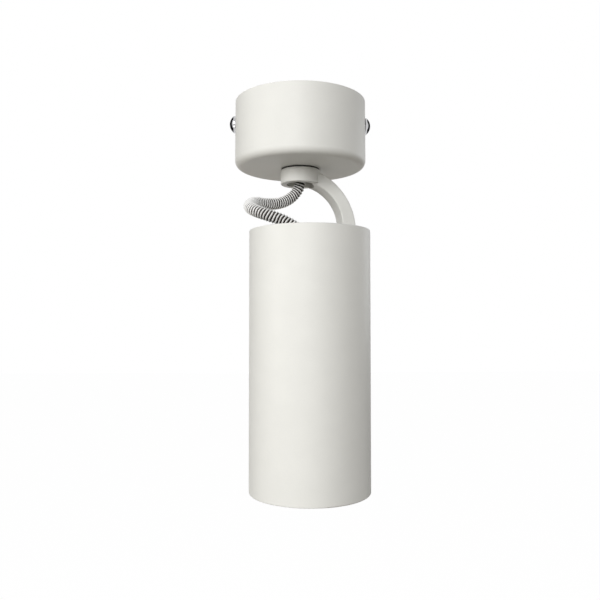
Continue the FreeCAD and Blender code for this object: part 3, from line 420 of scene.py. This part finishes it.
def add_uv(mesh, uv, rows, columns):
    """Writes a uv map for the faces of closed_skin. The array has a column more than the points, for the
    seam."""
    row, column = np.meshgrid(np.arange(rows - 1), np.arange(columns), indexing="ij")
    corners = ((row, column), (row, column + 1), (row + 1, column + 1), (row + 1, column))
    quads = np.stack([uv[r, c] for r, c in corners], axis=2).reshape(-1, 2)
    ring = np.arange(columns)
    middle = np.stack((uv[0].mean(axis=0),) * columns)
    low = np.stack((middle, uv[0, ring + 1], uv[0, ring]), axis=1).reshape(-1, 2)
    end = np.stack((uv[-1].mean(axis=0),) * columns)
    high = np.stack((end, uv[-1, ring], uv[-1, ring + 1]), axis=1).reshape(-1, 2)
    layer = mesh.uv_layers.new(name="surface")
    layer.data.foreach_set("uv", np.concatenate((quads, low, high)).astype(np.float32).ravel())


# Finishes


def powder_coat(settings):
    """Warm white powder coat: a fine matte grain, a soft orange peel, and faint cloudy changes of shade."""
    shader = new_material("powder_coat")
    where = shader.place()
    cloud = shader.noise(where, 11 * MM, 3.0)
    grain = shader.noise(where, 0.42 * MM, 2.0)
    peel = shader.noise(where, 1.3 * MM, 1.0)
    cloud_share = 0.55
    spread = 0.05
    clouds = shader.span(cloud, *FULL_NOISE, 0.0, cloud_share)
    grains = shader.span(grain, *FULL_NOISE, 0.0, 1 - cloud_share)
    colour = shader.blend(clouds + grains, *shades(settings.coat_colour, 0.975, 1.02))
    roughness = settings.coat_roughness
    rough = shader.span(grain, *FULL_NOISE, roughness - spread, roughness + spread)
    normal = shader.bump(grain, 0.012 * MM)
    normal = shader.bump(peel, 0.020 * MM, normal)
    return shader.surface(Base_Color=colour, Roughness=rough, Normal=normal)


def polished_plate(settings):
    """Polished plating with hairline polishing marks and faint smears."""
    shader = new_material("polished_plate")
    smear = shader.noise(shader.place(), 2.5 * MM, 3.0)
    lines = shader.noise(shader.place(scale=(1, 1, 14)), 1.2 * MM, 2.0)
    rough = shader.span(smear, 0.35, 0.7, 0.05, 0.14)
    normal = shader.bump(lines, 0.002 * MM)
    return shader.surface(Base_Color=settings.screw_colour, Metallic=1.0, Roughness=rough, Normal=normal)


def zinc_plate():
    """Bright zinc plating: cool grey with a faint yellow and blue bloom and fine rolling lines."""
    shader = new_material("zinc_plate")
    bloom = shader.noise(shader.place(), 6 * MM, 3.0)
    lines = shader.noise(shader.place(scale=(1, 18, 18)), 9 * MM, 2.0)
    colour = shader.blend(shader.span(bloom, *MID_NOISE), (0.60, 0.62, 0.66), (0.70, 0.68, 0.60))
    rough = shader.span(lines, *FULL_NOISE, 0.28, 0.42)
    normal = shader.bump(lines, 0.01 * MM)
    return shader.surface(Base_Color=colour, Metallic=1.0, Roughness=rough, Normal=normal)


def brass():
    """Turned brass, a little dulled in patches."""
    shader = new_material("brass")
    patch = shader.noise(shader.place(), 2 * MM, 3.0)
    colour = shader.blend(shader.span(patch, *MID_NOISE), (0.72, 0.52, 0.22), (0.58, 0.40, 0.17))
    rough = shader.span(patch, *FULL_NOISE, 0.22, 0.4)
    return shader.surface(Base_Color=colour, Metallic=1.0, Roughness=rough)


def moulded(name, colour, roughness, grain_size=0.5 * MM, depth=0.01 * MM, coat=0.0):
    """Moulded plastic or ceramic: an even colour that drifts slightly, and a fine mould texture."""
    shader = new_material(name)
    where = shader.place()
    drift = shader.noise(where, 7 * MM, 2.0)
    grain = shader.noise(where, grain_size, 2.0)
    spread = 0.06
    tone = shader.blend(shader.span(drift, *FULL_NOISE), *shades(colour, 0.92, 1.05))
    rough = shader.span(grain, *FULL_NOISE, roughness - spread, roughness + spread)
    normal = shader.bump(grain, depth)
    return shader.surface(Base_Color=tone, Roughness=rough, Normal=normal, Coat_Weight=coat)


def bright_reflector():
    """Vacuum metallised reflector with a faint ripple."""
    shader = new_material("bright_reflector")
    ripple = shader.noise(shader.place(), 3 * MM, 1.0)
    normal = shader.bump(ripple, 0.03 * MM)
    return shader.surface(Base_Color=(0.86, 0.86, 0.86), Metallic=1.0, Roughness=0.12, Normal=normal)


def lens_glass():
    """Clear lens with a faint moulding ripple."""
    shader = new_material("lens_glass")
    ripple = shader.noise(shader.place(), 1.5 * MM, 2.0)
    normal = shader.bump(ripple, 0.004 * MM)
    return shader.surface(
        Base_Color=(0.95, 0.97, 0.98), Roughness=0.12, Transmission_Weight=0.85, IOR=1.49, Normal=normal
    )


def textile(settings):
    """White yarn in ribs over a dark sheath. The map's first number counts ribs and its second turns."""
    shader = new_material("textile_flex")
    own = shader.node("ShaderNodeUVMap", {"uv_map": "surface"})
    ribs = shader.node("ShaderNodeSeparateXYZ", None, {"Vector": own}, output=0)
    from_middle = ribs.math("FRACT", ribs) - 0.5
    distance = from_middle.math("ABSOLUTE", from_middle)
    edge = settings.rib_share / 2
    yarn = shader.span(distance, edge - 0.03, edge + 0.05, 1.0, 0.0)
    strands = shader.node("ShaderNodeMapping", None, {"Vector": own, "Scale": (5.0, 90.0, 1.0)})
    fibre = shader.node("ShaderNodeTexNoise", None, {"Vector": strands, "Scale": 1.0, "Detail": 3.0})
    tuft = shader.node("ShaderNodeMapping", None, {"Vector": own, "Scale": (0.7, 9.0, 1.0)})
    patch = shader.node("ShaderNodeTexNoise", None, {"Vector": tuft, "Scale": 1.0, "Detail": 2.0})
    bright = shader.blend(shader.span(fibre + patch, 0.7, 1.3), *shades(settings.yarn_colour, 0.86, 1.0))
    dark = shader.blend(shader.span(patch, *MID_NOISE), settings.sheath_colour, SHEATH_SPECK)
    colour = shader.blend(yarn, dark, bright)
    normal = shader.bump(fibre, 0.05 * MM)
    return shader.surface(
        Base_Color=colour,
        Roughness=0.8,
        Normal=normal,
        Sheen_Weight=0.25,
        Sheen_Roughness=0.5,
        Specular_IOR_Level=0.25,
    )


# Flex


def smooth_line(route, name):
    """Points along the route's smooth line, read from a NURBS spline with the route as its control points."""
    curve = bpy.data.curves.new(name, "CURVE")
    curve.dimensions = "3D"
    spline = curve.splines.new("NURBS")
    spline.points.add(len(route) - 1)
    spline.points.foreach_set("co", [value for point in route for value in (*point, 1.0)])
    spline.order_u = 3
    spline.use_endpoint_u = True
    spline.resolution_u = 24
    holder = bpy.data.objects.new(name, curve)
    mesh = bpy.data.meshes.new_from_object(holder)
    line = np.empty(len(mesh.vertices) * 3)
    mesh.vertices.foreach_get("co", line)
    bpy.data.objects.remove(holder)
    bpy.data.curves.remove(curve)
    bpy.data.meshes.remove(mesh)
    return line.reshape(-1, 3)


def evenly(line, step):
    """The line's points at even distances of about step, with those distances."""
    runs = np.linalg.norm(np.diff(line, axis=0), axis=1)
    reached = np.concatenate(([0], np.cumsum(runs)))
    along = np.linspace(0, reached[-1], int(round(reached[-1] / step)) + 1)
    return np.stack([np.interp(along, reached, line[:, axis]) for axis in range(3)], axis=1), along


def carried_frames(line):
    """Two directions square to the line at each point, carried along it without twist."""
    ahead = np.gradient(line, axis=0)
    ahead /= np.linalg.norm(ahead, axis=1, keepdims=True)
    side = np.cross(ahead[0], (0, 1, 0))
    sides = []
    for direction in ahead:
        side = side - direction * (side @ direction)
        side = side / np.linalg.norm(side)
        sides.append(side)
    sides = np.array(sides)
    return sides, np.cross(ahead, sides)


def wound_flex(settings, line):
    """The flex's surface. At a distance along the line and an angle round it, the radius is the sheath's,
    plus a round rib wherever distance over pitch plus turns, with two small waves, is near a whole number
    and a half."""
    around = 40
    rows_in_a_pitch = 11
    line, along = evenly(line, settings.pitch / rows_in_a_pitch)
    sides, ups = carried_frames(line)
    angle = np.linspace(0, 2 * math.pi, around + 1)
    ribs = along[:, None] / settings.pitch + angle[None, :] / (2 * math.pi)
    for size, waves, length, phase in RIB_WAVES:
        ribs = ribs + size * np.sin(waves * angle[None, :] + along[:, None] / length + phase)
    across = np.abs(ribs % 1 - 0.5) / (settings.rib_share / 2)
    rib = np.sqrt(np.clip(1 - across**2, 0, 1))
    swell = 1 + RIB_UNEVENNESS * np.sin(ribs * 2.1 + 2 * angle[None, :]) * np.sin(ribs * 0.77)
    radius = settings.radius - settings.groove + settings.groove * rib * np.clip(swell, 0, 1)
    turn = angle[None, :-1, None]
    outwards = np.cos(turn) * sides[:, None] + np.sin(turn) * ups[:, None]
    points = line[:, None] + radius[:, :-1, None] * outwards
    uv = np.stack((ribs, np.broadcast_to(angle / (2 * math.pi), ribs.shape)), axis=2)
    return closed_skin("textile_flex", points, uv)


# Lamp front


def lens_plate(node):
    """The lamp's front plate, in the space of its solid. Its upper face is flat. Its lower face rises and
    falls with the sum of three cosine waves at 60 degrees to each other, which makes small round lenses side
    by side, and the waves fade out in a plain rim."""
    corners = np.empty(len(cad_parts[node].data.vertices) * 3)
    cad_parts[node].data.vertices.foreach_get("co", corners)
    low, high = corners.reshape(-1, 3).min(axis=0), corners.reshape(-1, 3).max(axis=0)
    middle, reach = (low + high) / 2, (high[0] - low[0]) / 2
    angle = np.linspace(0, 2 * math.pi, 240, endpoint=False)
    out = np.linspace(0.1 * MM, reach, 80)
    upper = np.concatenate((out[::12], [reach - LENS_EDGE]))
    x, y = out[:, None] * np.cos(angle), out[:, None] * np.sin(angle)
    waves = sum(
        np.cos(2 * math.pi / LENS_PITCH * (x * math.cos(turn) + y * math.sin(turn)))
        for turn in (0, math.pi / 3, 2 * math.pi / 3)
    )
    fade = np.clip((reach - LENS_RIM - out) / LENS_FADE, 0, 1)[:, None]
    level = low[2] + LENS_DEPTH * fade * (1 - (waves - WAVES_LOW) / WAVES_SPAN)
    lower = np.stack((x, y, level), axis=2)
    back = np.stack((upper[:, None] * np.cos(angle), upper[:, None] * np.sin(angle)), axis=2)
    back = np.concatenate((back, np.full((*back.shape[:2], 1), high[2])), axis=2)
    rim = back[-1:] * (reach / upper[-1], reach / upper[-1], 1) - (0, 0, LENS_EDGE)
    rows = np.concatenate((lower, rim, back[::-1]))
    rows[:, :, :2] += middle[:2]
    return closed_skin(node, rows)


# Stage


def area_lamp(name, azimuth, distance, level, size, power, colour):
    """A square soft lamp that faces the object. Azimuth 0 is in front and 90 degrees is at the right."""
    turn = math.radians(azimuth)
    place = Vector((distance * math.sin(turn), -distance * math.cos(turn), level))
    lamp = bpy.data.lights.new(name, "AREA")
    lamp.shape = "SQUARE"
    lamp.size = size
    lamp.energy = power
    lamp.color = colour
    item = bpy.data.objects.new(name, lamp)
    item.location = place
    item.rotation_euler = (Vector(LAMPS_AIM) - place).to_track_quat("-Z", "Y").to_euler()
    bpy.context.scene.collection.objects.link(item)


def seen_directly(shader):
    """One where a ray comes from the camera, a reflection or through glass, and nought for light."""
    rays = [shader.node("ShaderNodeLightPath", output=kind) for kind in RAYS_THAT_SEE]
    seen = rays[0] + rays[1] + rays[2]
    return seen.math("MINIMUM", seen, 1.0)


def dark_card(name, azimuth, distance, level, width, height):
    """A black card upright at a place, facing the object. Only gloss and polished metal show it."""
    turn = math.radians(azimuth)
    ahead = Vector((math.sin(turn), -math.cos(turn), 0))
    side = Vector((math.cos(turn), math.sin(turn), 0)) * (width / 2)
    up = Vector((0, 0, height / 2))
    middle = ahead * distance + Vector((0, 0, level))
    corners = [middle - side - up, middle + side - up, middle + side + up, middle - side + up]
    mesh = bpy.data.meshes.new(name)
    mesh.from_pydata(corners, [], [(0, 1, 2, 3)])
    item = bpy.data.objects.new(name, mesh)
    bpy.context.scene.collection.objects.link(item)
    shader = new_material(name)
    black = shader.node("ShaderNodeBsdfDiffuse", None, {"Color": (0.01, 0.01, 0.01, 1)})
    shader.node("ShaderNodeOutputMaterial", None, {"Surface": black})
    mesh.materials.append(shader.owner)
    item.visible_camera = False
    item.visible_diffuse = False
    item.visible_shadow = False
    item.visible_transmission = False


class SPOT_OT_coat(Operator):
    """Powder coat on canopy, arm and head tube"""

    bl_idname = "spotlight.coat"
    bl_label = "Powder coat"

    def execute(self, context):
        give(("canopy_cup", "swivel_arm", "head_tube"), powder_coat(context.scene.spotlight.finish))
        return {"FINISHED"}


class SPOT_OT_metals(Operator):
    """Plating on screws, nuts, washers and sheet parts"""

    bl_idname = "spotlight.metals"
    bl_label = "Metals"

    def execute(self, context):
        give(("canopy_side_screws", "pivot_bolt"), polished_plate(context.scene.spotlight.finish))
        zinc = (
            "ceiling_bracket block_fixing_screw earth_screw stop_pin hollow_stud stop_washer lock_washer"
            " stud_lock_nut stud_grip_screw outer_saddle_washer inner_saddle_washer pivot_nut carrier_plate"
            " head_grip_screw head_grip_nut plate_screws holder_pillars holder_screws earth_tag_screw"
            " lamp_pins"
        )
        give(zinc.split(), zinc_plate())
        give(("terminal_screws", "holder_contacts", "earth_tag"), brass())
        return {"FINISHED"}


class SPOT_OT_plastics(Operator):
    """Moulded plastic, ceramic and wire insulation"""

    bl_idname = "spotlight.plastics"
    bl_label = "Plastics and ceramic"

    def execute(self, context):
        black = moulded("black_nylon", (0.022, 0.021, 0.02), 0.5)
        give(("canopy_washer", "tilt_friction_washer", "hub_bush", "stud_grip", "head_grip"), black)
        give(("terminal_block",), moulded("white_nylon", (0.78, 0.78, 0.75), 0.42))
        give(("lamp_holder",), moulded("glazed_ceramic", (0.82, 0.80, 0.74), 0.3, 0.8 * MM, coat=0.6))
        for kind, colour in WIRE_COLOURS.items():
            give((f"wire_{kind}", f"lead_{kind}"), moulded(f"insulation_{kind}", colour, 0.38))
        give(("flex_in_stud", "flex_in_head"), moulded("flex_sheath", (0.6, 0.6, 0.58), 0.8))
        return {"FINISHED"}


class SPOT_OT_flex(Operator):
    """Textile flex between hub and head"""

    bl_idname = "spotlight.flex"
    bl_label = "Textile flex"

    def execute(self, context):
        settings = context.scene.spotlight.flex
        line = smooth_line(FLEX_ROUTE, "flex_route")
        flex = wound_flex(settings, line)
        flex.data.materials.append(textile(settings))
        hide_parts("flex_loop")
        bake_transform(flex)
        return {"FINISHED"}


class SPOT_OT_lamp(Operator):
    """Finishes of the twist-lock lamp"""

    bl_idname = "spotlight.lamp"
    bl_label = "Lamp"

    def execute(self, context):
        give(("lamp_base", "lamp_housing"), moulded("lamp_plastic", (0.80, 0.80, 0.78), 0.3))
        give(("lamp_board",), moulded("circuit_board", (0.75, 0.76, 0.74), 0.4))
        give(("lamp_chips",), moulded("phosphor", (0.85, 0.62, 0.10), 0.5))
        give(("lamp_reflector",), bright_reflector())
        front = lens_plate("lamp_lens")
        front.data.materials.append(lens_glass())
        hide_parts("lamp_lens")
        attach(front, "lamp")
        return {"FINISHED"}


class SPOT_OT_stage(Operator):
    """Camera, soft lamps, pale floor and white surroundings"""

    bl_idname = "spotlight.stage"
    bl_label = "Stage"

    def execute(self, context):
        settings = context.scene.spotlight.stage
        scene = context.scene
        scene.view_settings.view_transform = "Standard"
        self.add_camera(scene, settings)
        self.add_surroundings(scene, settings)
        self.add_floor(scene)
        for name, (azimuth, distance, level, size, colour) in LAMPS.items():
            power = getattr(settings, f"{name}_power")
            area_lamp(f"{name}_lamp", azimuth, distance, level, size, power, colour)
        for side in (-1, 1):
            for kind, (azimuth, distance, level, width, height) in CARDS.items():
                dark_card(f"card_{kind}_{side}", side * azimuth, distance, level, width, height)
        return {"FINISHED"}

    def add_camera(self, scene, settings):
        camera = bpy.data.cameras.new("camera")
        camera.lens = settings.lens
        camera.sensor_width = SENSOR_WIDTH
        camera.clip_start = NEAREST_SEEN
        item = bpy.data.objects.new("camera", camera)
        item.location = CAMERA_PLACE
        item.rotation_euler = Euler((math.pi / 2 + CAMERA_PITCH, 0, -CAMERA_HEADING))
        scene.collection.objects.link(item)
        scene.camera = item

    def add_surroundings(self, scene, settings):
        """Even light, which the camera, metal and glass see as plain white."""
        world = bpy.data.worlds.new("surroundings")
        scene.world = world
        shader = Shader(world)
        strength = settings.sky + seen_directly(shader) * (1 - settings.sky)
        background = shader.node("ShaderNodeBackground", None, {"Color": (1, 1, 1, 1), "Strength": strength})
        shader.node("ShaderNodeOutputWorld", None, {"Surface": background})

    def add_floor(self, scene):
        """A pale floor well below. It looks white to the camera but keeps a faint shadow."""
        turns = ((-1, -1), (1, -1), (1, 1), (-1, 1))
        corners = [(x * FLOOR_REACH, y * FLOOR_REACH, FLOOR_LEVEL) for x, y in turns]
        mesh = bpy.data.meshes.new("floor")
        mesh.from_pydata(corners, [], [(0, 1, 2, 3)])
        item = bpy.data.objects.new("floor", mesh)
        scene.collection.objects.link(item)
        shader = new_material("pale_floor")
        seen = seen_directly(shader)
        colour = shader.blend(seen, FLOOR_LIT, FLOOR_SEEN)
        matte = shader.node("ShaderNodeBsdfDiffuse", None, {"Color": colour})
        glow = {"Color": (1, 1, 1, 1), "Strength": seen * FLOOR_GLOW}
        white = shader.node("ShaderNodeEmission", None, glow)
        both = shader.node("ShaderNodeAddShader", None, {0: matte, 1: white})
        shader.node("ShaderNodeOutputMaterial", None, {"Surface": both})
        mesh.materials.append(shader.owner)


class SPOT_PT_panel(Panel):
    """Sizes, colours and the steps that build the spotlight"""

    bl_idname = "SPOT_PT_panel"
    bl_label = "Ceiling Spotlight"
    bl_space_type = "VIEW_3D"
    bl_region_type = "UI"
    bl_category = "Spotlight"

    def draw(self, context):
        settings = context.scene.spotlight
        for group in (settings.finish, settings.flex, settings.stage):
            box = self.layout.box()
            for name in group.__annotations__:
                box.prop(group, name)
        for step in STEPS:
            self.layout.operator(step.bl_idname)


STEPS = (SPOT_OT_coat, SPOT_OT_metals, SPOT_OT_plastics, SPOT_OT_flex, SPOT_OT_lamp, SPOT_OT_stage)
CLASSES = (FinishSettings, FlexSettings, StageSettings, SpotlightSettings, *STEPS, SPOT_PT_panel)


def register():
    for item in CLASSES:
        bpy.utils.register_class(item)
    bpy.types.Scene.spotlight = PointerProperty(type=SpotlightSettings)


def unregister():
    del bpy.types.Scene.spotlight
    for item in reversed(CLASSES):
        bpy.utils.unregister_class(item)


def main():
    register()
    for step in STEPS:
        group, name = step.bl_idname.split(".")
        getattr(getattr(bpy.ops, group), name)()


if __name__ == "__main__":
    main()
